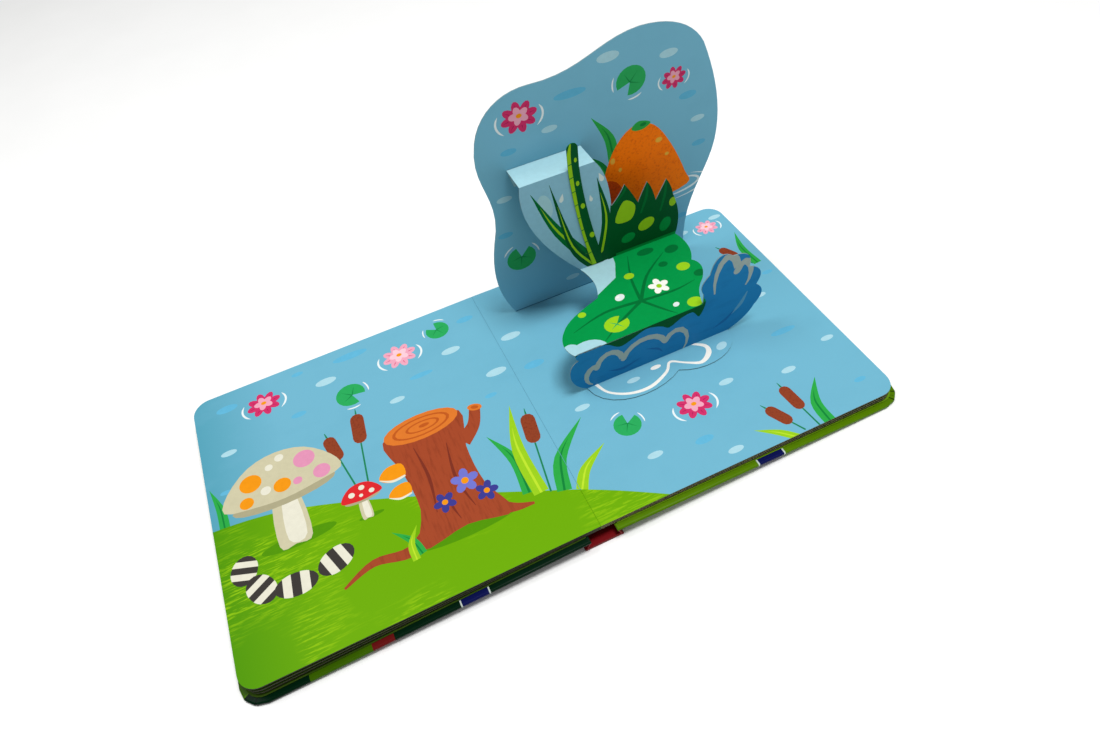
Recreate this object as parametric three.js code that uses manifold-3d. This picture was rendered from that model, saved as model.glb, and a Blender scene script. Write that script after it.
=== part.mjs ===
// An open pop-up picture book, lying flat on a table with one of its scenes standing up.
//
// Millimetres, +Z up. X runs across the open book, Y from its foot to its head.
// The origin is on the table, under the middle of the gutter.
//
// Two covers and a spine strip are wrapped in one printed paper. Each cover carries an
// endpaper and half of the leaves, creased at the gutter. On the right-hand page a die-cut
// flap stands on its fold, and a strip of card folded into two steps ties it to the page.

import * as THREE from 'three';
import { mergeVertices } from 'three/addons/utils/BufferGeometryUtils.js';
import Module from 'manifold-3d';

const wasm = await Module();
wasm.setup();

const LEFT = -1;
const RIGHT = 1;

const page = {
  height: 200,
  width: 197,
  cornerRadius: 11,
  creaseWidth: 0.9,
  creaseDepth: 0.4,
};

const leaves = {
  count: 3,
  thickness: 1.15,
  gluedDepth: 5,
  bow: 1.2,
};

const cover = {
  thickness: 2.3,
  overhang: 3.9,
  innerEnd: 8,
  cornerRadius: 13,
  cornerFacets: 3,
  edgeRound: 0.45,
};

const endpaper = {
  thickness: 0.4,
  margin: 3.4,
  innerMargin: 1.5,
};

const spine = {
  halfWidth: 11.4,
  thickness: 2.2,
  coverLift: 4.15,
  jointThickness: 0.9,
  jointTip: 0.4,
};

const card = {
  thickness: 0.6,
};

// Glued faces are drawn a hair apart, and paper that only lies on paper a little more.
const glueGap = 0.2;
const restGap = 0.3;
const gutterGap = 0.15;

// The left page lies level, and the right page drops a little towards its fore-edge.
const pageTilt = { [LEFT]: 0, [RIGHT]: 1.0 };

const flap = {
  fromFoot: 171,
  fromGutter: 22,
  foldLength: 131,
  height: 170.5,
  tabDepth: 14,
  tabInset: 4,
};

// The folded strip, measured along its folds: a shelf against the flap, a riser, a deep
// lower shelf, a front riser and the foot that is glued to the page. Lengths along the
// folds start at so many millimetres from the gutter.
const steps = {
  upperHeight: 111.2,
  upperDepth: 19,
  lowerHeight: 34.6,
  lowerDepth: 64.8,
  flapTab: 12,
  tabInset: 3,
  shelfFrom: 31,
  shelfTo: 78,
  neckFrom: 64,
  neckTo: 134,
  leafFrom: 29,
  leafTo: 115,
  footFrom: 35,
  footTo: 136,
  footDepth: 21,
  crestReach: 19,
  crestHeight: 70,
};

// A reed blade of thinner card is glued on the riser's face, from just above the lower fold,
// and its round head stands up past the top fold.
const reed = {
  thickness: 0.4,
  footClearance: 0.8,
  footFrom: 72.5,
  footWidth: 8.5,
  headFrom: 61,
  headWidth: 7,
  headReach: 17,
  lean: 2,
};

const stack = leaves.count * leaves.thickness;
const coverTop = stack + restGap + endpaper.thickness + glueGap;
const gutterHeight = spine.thickness + spine.coverLift + cover.thickness + coverTop;
const coverLength = page.width + cover.overhang - cover.innerEnd;
const coverHeight = page.height + 2 * cover.overhang;

// Both covers reach from their lifted inner end down to the table at the fore-edge.
const coverSlope = Math.asin((spine.thickness + spine.coverLift) / coverLength);
const tilt = (side) => THREE.MathUtils.degToRad(pageTilt[side]);
const fan = (side) => coverSlope - tilt(side);

// Solids: geometry in, geometry out, with manifold-3d doing the joining and cutting.

function toSolid(geometry) {
  const bare = geometry.clone();
  bare.deleteAttribute('normal');
  bare.deleteAttribute('uv');
  const welded = mergeVertices(bare, 1e-4);
  return new wasm.Manifold(new wasm.Mesh({
    numProp: 3,
    vertProperties: new Float32Array(welded.attributes.position.array),
    triVerts: new Uint32Array(welded.index.array),
  }));
}

function toGeometry(solid) {
  const mesh = solid.getMesh();
  const geometry = new THREE.BufferGeometry();
  geometry.setAttribute('position', new THREE.BufferAttribute(mesh.vertProperties, 3));
  geometry.setIndex(new THREE.BufferAttribute(mesh.triVerts, 1));
  geometry.computeVertexNormals();
  return geometry;
}

function join(parts) {
  return toGeometry(parts.map(toSolid).reduce((whole, part) => whole.add(part)));
}

// A plate whose outline is drawn in plan (x, y), from height z0 up to z1.
function plateFlat(shape, z0, z1, curveSegments = 8) {
  const plate = new THREE.ExtrudeGeometry(shape, { depth: z1 - z0, bevelEnabled: false, curveSegments });
  return plate.translate(0, 0, z0);
}

// A plate whose outline is drawn in elevation (x, z), from depth y0 back to y1.
function plateUpright(shape, y0, y1, curveSegments = 8) {
  const plate = new THREE.ExtrudeGeometry(shape, { depth: y1 - y0, bevelEnabled: false, curveSegments });
  return plate.rotateX(Math.PI / 2).translate(0, y1, 0);
}

function polygon(points) {
  return new THREE.Shape(points.map(([x, y]) => new THREE.Vector2(x, y)));
}

// Plan of a page or board: square at the gutter, round at the two outer corners.
function boardPlan(side, inner, outer, height, radius, facets) {
  const half = height / 2;
  const points = [[side * inner, -half]];
  for (const end of [-1, 1]) {
    for (let step = 0; step <= facets; step += 1) {
      const turn = (step / facets) * (Math.PI / 2);
      const along = end < 0 ? Math.sin(turn) : Math.cos(turn);
      const across = end < 0 ? Math.cos(turn) : Math.sin(turn);
      points.push([side * (outer - radius + radius * along), end * (half - radius + radius * across)]);
    }
  }
  points.push([side * inner, half]);
  return polygon(points);
}

const scene = new THREE.Group();

function add(parent, name, geometry, colour, roughness = 0.6) {
  const material = new THREE.MeshStandardMaterial({ color: colour, roughness, metalness: 0 });
  const mesh = new THREE.Mesh(geometry, material);
  mesh.name = name;
  parent.add(mesh);
  return mesh;
}

// Half of the book turns about the gutter line at the height of the page surface.
function halfBook(side) {
  const half = new THREE.Group();
  half.position.z = gutterHeight;
  half.rotation.y = side * tilt(side);
  scene.add(half);
  return half;
}

// Leaves: one comb-shaped section, glued solid at the gutter and fanned towards the
// fore-edge, then trimmed to the page with its round corners.

function leafDrop(side, leaf, distance) {
  const span = page.width - leaves.gluedDepth;
  const share = Math.max(0, distance - leaves.gluedDepth) / span;
  const angle = (fan(side) * leaf) / leaves.count;
  return Math.tan(angle) * span * share ** leaves.bow;
}

function leafBlock(side) {
  const stations = 6;
  const span = page.width - leaves.gluedDepth;
  const out = [...Array(stations).keys()].map((i) => leaves.gluedDepth + (span * (i + 1)) / stations);
  const section = [[gutterGap, -page.creaseDepth], [page.creaseWidth, 0]];
  for (let leaf = 0; leaf < leaves.count; leaf += 1) {
    const top = leaf * leaves.thickness;
    const bottom = top + leaves.thickness;
    section.push(...out.map((u) => [u, -top - leafDrop(side, leaf, u)]));
    section.push(...[...out].reverse().map((u) => [u, -bottom - leafDrop(side, leaf, u)]));
    if (leaf < leaves.count - 1) {
      section.push([leaves.gluedDepth, -bottom]);
    }
  }
  section.push([leaves.gluedDepth, -stack], [gutterGap, -stack]);
  const half = page.height / 2;
  const comb = plateUpright(polygon(section.map(([u, w]) => [side * u, w])), -half, half);
  const trim = boardPlan(side, 0, page.width, page.height, page.cornerRadius, 8);
  const depth = stack + leafDrop(side, leaves.count, page.width);
  return toGeometry(toSolid(comb).intersect(toSolid(plateFlat(trim, -depth - 1, 1))));
}

// Covers: board and wrap glued into one plate, its edges rounded by the paper that is
// turned in over them, and its corners pleated into short flats.

function coverPlate(side) {
  const round = cover.edgeRound;
  const plan = boardPlan(
    side, round, coverLength - round, coverHeight - 2 * round, cover.cornerRadius - round, cover.cornerFacets,
  );
  const plate = new THREE.ExtrudeGeometry(plan, {
    depth: cover.thickness - 2 * round,
    bevelThickness: round,
    bevelSize: round,
    bevelSegments: 2,
  });
  return plate.translate(0, 0, round - cover.thickness);
}

function endpaperSheet(side) {
  const outer = coverLength - endpaper.margin;
  const height = coverHeight - 2 * endpaper.margin;
  const radius = cover.cornerRadius - endpaper.margin;
  const plan = boardPlan(side, endpaper.innerMargin, outer, height, radius, 6);
  return plateFlat(plan, glueGap, glueGap + endpaper.thickness);
}

// Spine: the stiff strip lies on the table, and the wrap runs from both its edges in a
// sharp fold up to the inner end of each cover.

function coverInnerCorner(side) {
  const drop = coverSlope - tilt(side);
  const u = cover.innerEnd - cover.thickness * Math.sin(drop);
  const w = -coverTop - cover.thickness * Math.cos(drop);
  const turn = tilt(side);
  return {
    x: u * Math.cos(turn) + w * Math.sin(turn),
    z: gutterHeight - u * Math.sin(turn) + w * Math.cos(turn),
  };
}

function spineSection() {
  const jointSide = (side) => {
    const corner = coverInnerCorner(side);
    const inner = corner.x + cover.edgeRound;
    const outer = inner + spine.jointThickness;
    const height = corner.z - restGap - (outer - corner.x) * Math.tan(coverSlope);
    return [
      [side * spine.halfWidth, 0],
      [side * (spine.halfWidth + spine.jointTip), spine.jointTip],
      [side * outer, height],
      [side * inner, height],
      [side * (spine.halfWidth - spine.jointThickness), spine.thickness],
    ];
  };
  return polygon([...jointSide(RIGHT), ...jointSide(LEFT).reverse()]);
}

// Pop-up outlines. X is the distance from the gutter, and heights are above the page.
// A stretch of outline is a straight line with one point, or a curve with two or three.

function outline(start, stretches) {
  const shape = new THREE.Shape();
  shape.moveTo(...start);
  for (const stretch of stretches) {
    const draw = [null, shape.lineTo, shape.quadraticCurveTo, shape.bezierCurveTo][stretch.length];
    draw.apply(shape, stretch.flat());
  }
  shape.closePath();
  return shape;
}

// The flap is a tall wavy shape, wider above than at its fold.
function flapShape() {
  const at = (along, up) => [flap.fromGutter + along * flap.foldLength, up * flap.height];
  return outline(at(0, 0), [
    [at(-0.07, 0.11), at(-0.09, 0.22), at(-0.045, 0.365)],
    [at(0.035, 0.56), at(-0.11, 0.62), at(-0.05, 0.785)],
    [at(-0.015, 0.88), at(0.09, 0.93), at(0.215, 0.925)],
    [at(0.46, 0.91), at(0.535, 0.997), at(0.73, 1)],
    [at(0.88, 0.997), at(0.99, 0.955), at(1.045, 0.88)],
    [at(1.12, 0.75), at(1.17, 0.61), at(1.145, 0.48)],
    [at(1.115, 0.34), at(0.975, 0.26), at(1, 0)],
  ]);
}

const cardTop = glueGap + card.thickness;

function flapPanel() {
  const y0 = flap.fromFoot - page.height / 2;
  const to = flap.fromGutter + flap.foldLength;
  const tab = polygon([
    [flap.fromGutter, y0],
    [flap.fromGutter + flap.tabInset, y0 + flap.tabDepth],
    [to - flap.tabInset, y0 + flap.tabDepth],
    [to, y0],
  ]);
  return join([
    plateUpright(flapShape(), y0, y0 + card.thickness, 10).translate(0, 0, glueGap),
    plateFlat(tab, glueGap, cardTop),
  ]);
}

// The upper riser: a curved side panel with a crown of leaf tips to its right.
function upperRiserShape() {
  const foot = steps.lowerHeight - card.thickness;
  const width = steps.neckTo - steps.shelfFrom;
  const at = (along, up) => [
    steps.shelfFrom + along * width,
    foot + up * (steps.upperHeight - foot),
  ];
  const leafTips = [[0.92, 0.61, 0.85, 0.44], [0.79, 0.65, 0.73, 0.48], [0.64, 0.7, 0.55, 0.54]];
  const crown = leafTips.flatMap(([tip, tipUp, dip, dipUp]) => [
    [at(tip + 0.04, tipUp - 0.08), at(tip, tipUp)],
    [at(tip - 0.04, tipUp - 0.1), at(dip, dipUp)],
  ]);
  return outline([steps.neckFrom, foot], [
    [[steps.neckTo, foot]],
    [at(1.03, 0.15), at(1.02, 0.28), at(0.97, 0.44)],
    ...crown,
    [at(0.545, 0.75), at(0.515, 0.9), [steps.shelfTo, steps.upperHeight]],
    [[steps.shelfFrom, steps.upperHeight]],
    [at(-0.04, 0.7), at(0.09, 0.36), [steps.neckFrom, foot]],
  ]);
}

// The reed blade leans over from its foot to a straight neck and a round head.
function reedShape() {
  const foot = steps.lowerHeight + reed.footClearance;
  const fold = steps.upperHeight;
  const bend = foot + 0.55 * (fold - foot);
  const radius = reed.headWidth / 2;
  const headTo = reed.headFrom + reed.headWidth;
  const shape = new THREE.Shape();
  shape.moveTo(reed.footFrom, foot);
  shape.lineTo(reed.footFrom + reed.footWidth, foot);
  shape.quadraticCurveTo(headTo + reed.lean, bend, headTo, fold);
  shape.absarc(headTo - radius, fold + reed.headReach - radius, radius, 0, Math.PI, false);
  shape.lineTo(reed.headFrom, fold);
  shape.quadraticCurveTo(reed.headFrom + reed.lean, bend, reed.footFrom, foot);
  shape.closePath();
  return shape;
}

// The lower shelf: a neck behind, and a broad round leaf at the front.
function lowerShelfShape(front, back) {
  const depth = back - front;
  const at = (along, deep) => [
    steps.leafFrom + along * (steps.neckTo - steps.leafFrom),
    front + deep * depth,
  ];
  return outline([steps.neckFrom, back], [
    [at(0.36, 0.85), at(0.37, 0.72), at(0.315, 0.56)],
    [at(0.22, 0.5), at(0.085, 0.45), at(0.02, 0.31)],
    [at(-0.03, 0.22), at(-0.04, 0.1), [steps.leafFrom, front]],
    [[steps.leafTo, front]],
    [at(0.84, 0.15), at(0.875, 0.23), at(0.93, 0.3)],
    [at(1.02, 0.47), at(0.96, 0.58)],
    [at(1.04, 0.76), [steps.neckTo, back]],
  ]);
}

// The front riser: a wave with round lobes, its crest rising past the fold at the right.
function frontRiserShape(base) {
  const fold = steps.lowerHeight;
  const crestWidth = steps.footTo + steps.crestReach - steps.leafTo;
  const at = (along, up) => [
    steps.leafTo + along * crestWidth,
    base + up * (steps.crestHeight - base),
  ];
  const edge = (along, up) => [steps.leafFrom + along, base + up * (fold - base)];
  return outline([steps.footFrom, base], [
    [[steps.footTo, base]],
    [at(0.7, 0.04), at(0.88, 0.1), at(0.97, 0.21)],
    [at(1.2, 0.35), at(0.95, 0.47)],
    [at(1.12, 0.64), at(0.77, 0.73)],
    [at(0.82, 0.92), at(0.45, 0.93)],
    [at(0.17, 1.08), at(0.08, 0.81)],
    [at(-0.12, 0.71), at(0, 0.6)],
    [[steps.leafTo, fold]],
    [[steps.leafFrom, fold]],
    [edge(0, 0.9), edge(2, 0.84)],
    [edge(-7, 0.78), edge(-7, 0.23), [steps.footFrom, base]],
  ]);
}

// The foot: two round lobes glued to the page in front of the wave.
function footShape(front, back) {
  const at = (along, out) => [
    steps.footFrom + along * (steps.footTo - steps.footFrom),
    front - out * steps.footDepth,
  ];
  return outline([steps.footFrom, back], [
    [[steps.footTo, back]],
    [at(1, 0.9), at(0.72, 1.15), at(0.56, 0.66)],
    [at(0.38, 1.2), at(0.03, 1.1), [steps.footFrom, back]],
  ]);
}

// How far the riser's printed face stands from the middle of the page.
function riserFace() {
  return flap.fromFoot - page.height / 2 - steps.upperDepth;
}

function reedBlade() {
  const back = riserFace() - glueGap;
  return plateUpright(reedShape(), back - reed.thickness, back);
}

// Each face of the strip is a plate of card, and the plates meet in their folds.
function stairStrip() {
  const t = card.thickness;
  const riser = riserFace();
  const flapFace = riser + steps.upperDepth;
  const front = riser - steps.lowerDepth;
  const shelfBack = flapFace - glueGap;
  const shelfTop = steps.upperHeight;

  const shelf = plateFlat(polygon([
    [steps.shelfFrom, riser],
    [steps.shelfTo, riser],
    [steps.shelfTo, shelfBack],
    [steps.shelfFrom, shelfBack],
  ]), shelfTop - t, shelfTop);
  const tab = plateUpright(polygon([
    [steps.shelfFrom, shelfTop],
    [steps.shelfFrom + steps.tabInset, shelfTop - steps.flapTab],
    [steps.shelfTo - steps.tabInset, shelfTop - steps.flapTab],
    [steps.shelfTo, shelfTop],
  ]), shelfBack - t, shelfBack);

  return join([
    tab,
    shelf,
    plateUpright(upperRiserShape(), riser, riser + t),
    plateFlat(lowerShelfShape(front, riser + t), steps.lowerHeight - t, steps.lowerHeight),
    plateUpright(frontRiserShape(glueGap), front, front + t),
    plateFlat(footShape(front, front + t), glueGap, cardTop),
  ]);
}

for (const [side, leafName, coverName, paperName] of [
  [LEFT, 'left_pages', 'front_cover', 'front_endpaper'],
  [RIGHT, 'right_pages', 'back_cover', 'back_endpaper'],
]) {
  const half = halfBook(side);
  add(half, leafName, leafBlock(side), 0x7fbcd6, 0.45);

  const board = new THREE.Group();
  board.position.set(side * cover.innerEnd, 0, -coverTop);
  board.rotation.y = side * fan(side);
  half.add(board);
  add(board, coverName, coverPlate(side), side === LEFT ? 0x0b4a2c : 0x6da800, 0.35);
  add(board, paperName, endpaperSheet(side), 0x6f9c12, 0.5);

  if (side === RIGHT) {
    add(half, 'popup_flap', flapPanel(), 0x6496af, 0.5);
    add(half, 'popup_steps', stairStrip(), 0x1c8f4a, 0.5);
    add(half, 'popup_reed', reedBlade(), 0x0f5a2c, 0.5);
  }
}

const spineLength = coverHeight - 2 * cover.edgeRound;
add(scene, 'spine', plateUpright(spineSection(), -spineLength / 2, spineLength / 2), 0x6e0f14, 0.35);

export default scene;
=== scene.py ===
import math

import bmesh
import bpy
from mathutils import Matrix, Vector
from mathutils.geometry import delaunay_2d_cdt


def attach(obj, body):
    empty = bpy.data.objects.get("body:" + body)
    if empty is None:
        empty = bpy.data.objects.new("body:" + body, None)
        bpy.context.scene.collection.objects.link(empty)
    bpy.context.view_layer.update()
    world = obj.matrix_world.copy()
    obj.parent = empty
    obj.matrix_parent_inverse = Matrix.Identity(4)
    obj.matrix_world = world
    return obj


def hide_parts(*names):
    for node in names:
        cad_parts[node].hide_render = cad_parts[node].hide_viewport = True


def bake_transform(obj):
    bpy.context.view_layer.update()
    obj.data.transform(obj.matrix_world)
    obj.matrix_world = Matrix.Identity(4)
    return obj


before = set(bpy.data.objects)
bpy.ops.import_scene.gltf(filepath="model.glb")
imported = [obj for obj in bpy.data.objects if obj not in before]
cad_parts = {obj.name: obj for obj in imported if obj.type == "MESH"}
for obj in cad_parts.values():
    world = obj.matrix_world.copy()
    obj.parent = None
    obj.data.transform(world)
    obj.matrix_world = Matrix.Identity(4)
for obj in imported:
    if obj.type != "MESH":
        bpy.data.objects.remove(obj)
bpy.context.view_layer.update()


# The table and the light. The book lies open on a sheet of white studio paper, under a
# broad soft light high above its right-hand page, with a weaker one at its far left.

MM = 0.001


def linear(code):
    """An sRGB hex colour as linear red, green, blue and an alpha of 1."""
    shares = [int(code[i:i + 2], 16) / 255 for i in (1, 3, 5)]
    return tuple(c / 12.92 if c <= 0.04045 else ((c + 0.055) / 1.055) ** 2.4 for c in shares) + (1.0,)


def node(tree, kind, settings=None, links=None):
    """A shader node with its settings, and its sockets joined to what feeds them."""
    made = tree.nodes.new("ShaderNode" + kind)
    for key, value in (settings or {}).items():
        if isinstance(key, int) or key in made.inputs:
            made.inputs[key].default_value = value
        else:
            setattr(made, key, value)
    for key, source in (links or {}).items():
        tree.links.new(source, made.inputs[key])
    return made


def new_material(name):
    """An empty material, and its tree with a place to join the surface to."""
    material = bpy.data.materials.new(name)
    material.use_nodes = True
    material.node_tree.nodes.clear()
    return material, material.node_tree


def studio_paper():
    """Matt background paper: uncoated, so it has no gloss, only a faint cloudiness in its white."""
    material, tree = new_material("studio_paper_matt")
    where = node(tree, "TexCoord").outputs["Object"]
    cloud = node(tree, "TexNoise", {"Scale": 1 / (60 * MM), "Detail": 3.0}, {"Vector": where})
    tone = node(tree, "Mix", {"data_type": "RGBA", 6: linear("#FBFBFA"), 7: linear("#F6F6F5")},
                {0: cloud.outputs["Fac"]})
    surface = node(tree, "BsdfPrincipled", {"Roughness": 0.9, "Specular IOR Level": 0.1,
                                             "Emission Color": (1, 1, 1, 1), "Emission Strength": 0.01},
                   {"Base Color": tone.outputs[2]})
    node(tree, "OutputMaterial", None, {"Surface": surface.outputs[0]})
    return material


def shown(name, mesh, materials):
    """A mesh as an object in the scene, with its materials."""
    made = bpy.data.objects.new(name, mesh)
    bpy.context.scene.collection.objects.link(made)
    for material in materials:
        mesh.materials.append(material)
    return made


floor_mesh = bpy.data.meshes.new("table_top")
floor_mesh.from_pydata([(-6, -6, 0), (6, -6, 0), (6, 6, 0), (-6, 6, 0)], [], [(0, 1, 2, 3)])
table_top = shown("table_top", floor_mesh, [studio_paper()])


def soft_light(name, place, aim, size, watts):
    """A square area light, turned to what it lights."""
    lamp = bpy.data.lights.new(name, "AREA")
    lamp.size = size
    lamp.energy = watts
    made = bpy.data.objects.new(name, lamp)
    made.location = place
    made.rotation_euler = (Vector(aim) - Vector(place)).to_track_quat("-Z", "Y").to_euler()
    bpy.context.scene.collection.objects.link(made)


soft_light("top_light", (0.32, -0.12, 1.65), (0.02, 0, 0), 0.5, 21)
soft_light("left_light", (-0.6, 0.45, 1.3), (0, 0, 0), 0.5, 5)

world = bpy.data.worlds.new("studio")
world.use_nodes = True
world.node_tree.nodes["Background"].inputs["Color"].default_value = (1, 1, 1, 1)
world.node_tree.nodes["Background"].inputs["Strength"].default_value = 0.32
bpy.context.scene.world = world
bpy.context.scene.view_settings.view_transform = "Standard"

# The camera looks down on the book from the front left, and is rolled by a few degrees.
azimuth, elevation, roll = math.radians(17.146), math.radians(50.004), math.radians(-9.554)
ahead = Vector((math.sin(azimuth) * math.cos(elevation), math.cos(azimuth) * math.cos(elevation),
                -math.sin(elevation)))
level = Vector((math.cos(azimuth), -math.sin(azimuth), 0))
upward = level.cross(ahead)
right = level * math.cos(roll) + upward * math.sin(roll)
above = upward * math.cos(roll) - level * math.sin(roll)
lens = bpy.data.cameras.new("camera")
lens.sensor_fit = "HORIZONTAL"
lens.sensor_width = 36
lens.lens = 36 * 742.87 / 1100
lens.clip_start = 0.01
camera = bpy.data.objects.new("camera", lens)
camera.matrix_world = Matrix.Translation((-0.06765, -0.27587, 0.37559)) @ Matrix(
    (right, above, -ahead)).transposed().to_4x4()
bpy.context.scene.collection.objects.link(camera)
bpy.context.scene.camera = camera


# The leaves: stiff card, printed on both sides with a satin varnish and die-cut with round
# outer corners. Three leaves of each half are glued together at the gutter, and fan out
# a little towards the fore-edge, where their cut edges show one above the other, pale on
# the right-hand half. Their rims carry painted shade: near-black bands between the leaves,
# and a darker middle band on the left-hand half than on the right.

PAGE_HEIGHT = 200
PAGE_WIDTH = 197
PAGE_CORNER = 11
LEAF_COUNT = 3
LEAF_THICKNESS = 1.15
GLUED_DEPTH = 5
LEAF_BOW = 1.2
CREASE_WIDTH = 0.9
CREASE_DEPTH = 0.12
GUTTER_GAP = 0.15
GUTTER_HEIGHT = 13.0
COVER_SLOPE = math.asin(6.35 / 192.9)
TILT = {-1: 0.0, 1: math.radians(1.0)}
BODY = {-1: "front_half", 1: "back_half"}


def half_book(side):
    """Where half of the book lies: turned about the gutter line at the height of the pages."""
    return Matrix.Translation((0, 0, GUTTER_HEIGHT * MM)) @ Matrix.Rotation(side * TILT[side], 4, "Y")


def ink(name, colour, second=None, grain=(3.0, 3.0), sharp=0.35, roughness=0.46, patches=0.0, deep=None):
    """Litho ink on coated card under satin varnish: even colour, a soft gloss and a faint
    tooth of the card. A second colour lies over it in brushed or sponged marks, whose
    length and width are given in millimetres, and they may keep to patches of a given size.
    A darker colour may come in softly towards the left-hand fore-edge: painted shade, where the page gets less light."""
    material, tree = new_material("litho_ink_" + name)
    where = node(tree, "TexCoord").outputs["Object"]
    base = linear(colour)
    if second is None:
        second_colour, spread = tuple(0.9 * c for c in base[:3]) + (1.0,), (0.2, 0.8)
    else:
        second_colour, spread = linear(second), (0.5, 0.5 + sharp)
    marks = node(tree, "Mapping",
                 {"Scale": (1 / (grain[0] * MM), 1 / (grain[1] * MM), 1 / (grain[1] * MM))},
                 {"Vector": where})
    cloud = node(tree, "TexNoise", {"Scale": 1.0, "Detail": 4.0, "Roughness": 0.6},
                 {"Vector": marks.outputs[0]})
    share = node(tree, "MapRange", {"From Min": spread[0], "From Max": spread[1]},
                 {"Value": cloud.outputs["Fac"]})
    if patches:
        field = node(tree, "TexNoise", {"Scale": 1 / (patches * MM), "Detail": 1.0}, {"Vector": where})
        here = node(tree, "MapRange", {"From Min": 0.46, "From Max": 0.62}, {"Value": field.outputs["Fac"]})
        share = node(tree, "Math", {"operation": "MULTIPLY"}, {0: share.outputs[0], 1: here.outputs[0]})
    tone = node(tree, "Mix", {"data_type": "RGBA", 6: base, 7: second_colour}, {0: share.outputs[0]})
    # Painted shade: the ink darkens softly towards the left-hand fore-edge.
    if deep:
        across = node(tree, "SeparateXYZ", None, {"Vector": where})
        fore_edge_painted_shade = node(tree, "MapRange", {"From Min": -200 * MM, "From Max": -148 * MM}, {"Value": across.outputs["X"]})
        under = node(tree, "Mix", {"data_type": "RGBA", 6: linear(deep), 7: base}, {0: fore_edge_painted_shade.outputs[0]})
        tree.links.new(under.outputs[2], tone.inputs[6])
    tooth = node(tree, "TexNoise", {"Scale": 1 / (0.35 * MM), "Detail": 2.0}, {"Vector": where})
    bump = node(tree, "Bump", {"Strength": 0.12, "Distance": 0.05 * MM}, {"Height": tooth.outputs["Fac"]})
    gloss = node(tree, "MapRange", {"To Min": roughness - 0.05, "To Max": roughness + 0.05},
                 {"Value": tooth.outputs["Fac"]})
    surface = node(tree, "BsdfPrincipled", {"IOR": 1.48, "Specular IOR Level": 0.05},
                   {"Base Color": tone.outputs[2], "Roughness": gloss.outputs[0],
                    "Normal": bump.outputs[0]})
    node(tree, "OutputMaterial", None, {"Surface": surface.outputs[0]})
    return material


def cut_card(name, colour, ply):
    """The cut edge or bare back of solid bleached board: matt, with faint plies along it."""
    material, tree = new_material("bleached_board_" + name)
    where = node(tree, "TexCoord").outputs["Object"]
    plies = node(tree, "TexWave", {"bands_direction": "Z", "Scale": 1 / (0.5 * MM), "Distortion": 1.5},
                 {"Vector": where})
    tone = node(tree, "Mix", {"data_type": "RGBA", 6: linear(colour), 7: linear(ply)},
                {0: plies.outputs["Fac"]})
    tooth = node(tree, "TexNoise", {"Scale": 1 / (0.25 * MM), "Detail": 3.0}, {"Vector": where})
    bump = node(tree, "Bump", {"Strength": 0.3, "Distance": 0.05 * MM}, {"Height": tooth.outputs["Fac"]})
    surface = node(tree, "BsdfPrincipled", {"Roughness": 0.8, "IOR": 1.48},
                   {"Base Color": tone.outputs[2], "Normal": bump.outputs[0]})
    node(tree, "OutputMaterial", None, {"Surface": surface.outputs[0]})
    return material


INKS = {
    # The water and hill inks carry painted shade that darkens them towards the left-hand fore-edge.
    "water": ink("water", "#6CADC4", "#66A7BE", (40, 25), 0.5, deep="#4F99AE"),
    "pale": ink("pale_water", "#A9D3DE"),
    "mid": ink("mid_water", "#5FB1D2"),
    "hill": ink("hill_green", "#67A300", "#86B80C", (11, 1.1), 0.1, patches=38, deep="#4B8E00"),
    "hill_shade": ink("hill_shade_green", "#4F9000"),
    # Ground of the lower leaves: a dark olive that stands partly for their unseen print and partly for painted shade
    # between the leaves.
    "meadow": ink("olive_and_painted_shade", "#3E5A16"),
    "white": ink("white", "#E6EEEE"),
    "cream": ink("cream", "#C9C3A2"),
    "cream_pale": ink("pale_cream", "#E2DFCC"),
    "cream_shade": ink("shaded_cream", "#A9A382"),
    "amber": ink("amber", "#EC9310"),
    "rose": ink("rose", "#DC8FB0"),
    "red": ink("red", "#D5262B"),
    "red_shade": ink("shaded_red", "#A5161C"),
    "slate": ink("slate", "#3B3734"),
    "bark": ink("bark_brown", "#9C4426", "#8A3A20", (2, 14), 0.2),
    "bark_shade": ink("bark_shade", "#7A3020"),
    "heartwood": ink("heartwood", "#D8752A"),
    "heartwood_ring": ink("heartwood_ring", "#BA571D"),
    "violet": ink("violet", "#3B3A8C"),
    "lilac": ink("lilac", "#6E72C8"),
    "lotus": ink("lotus_pink", "#CE2F66"),
    "lotus_shade": ink("lotus_shade", "#A81E52"),
    "lotus_pale": ink("pale_lotus", "#E9A3B8"),
    "lotus_light": ink("light_lotus", "#F3C6D2"),
    "pad": ink("lily_pad", "#29A558"),
    "pad_shade": ink("lily_pad_shade", "#148343"),
    "reed": ink("reed_brown", "#8A3D22", "#74301C", (1.2, 1.2), 0.2),
    "stalk": ink("stalk_green", "#1E7F52"),
    "blade": ink("blade_green", "#2BA443"),
    "blade_shade": ink("blade_shade", "#0F7F37"),
    "lime": ink("lime", "#96C81C"),
    "lime_light": ink("light_lime", "#B9DC2E"),
    # Cut edges of the leaves: left_edge is a darker copy of right_edge, painted shade on the left-hand half, and the
    # near-black edge ink is painted shade between the leaves.
    "left_edge": cut_card("left_edge", "#5C5234", "#443C24"),
    "right_edge": cut_card("right_edge", "#C0B484", "#9C9062"),
    "edge_dark": cut_card("painted_shade_edge", "#1C1C0E", "#14140A"),
    "cut": cut_card("cut", "#7E979C", "#728A8E"),
}


def facing_up(shape):
    """The same polygon with its corners in counter-clockwise order."""
    area = sum(a[0] * b[1] - b[0] * a[1] for a, b in zip(shape, shape[1:] + shape[:1]))
    return shape if area > 0 else shape[::-1]


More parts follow.
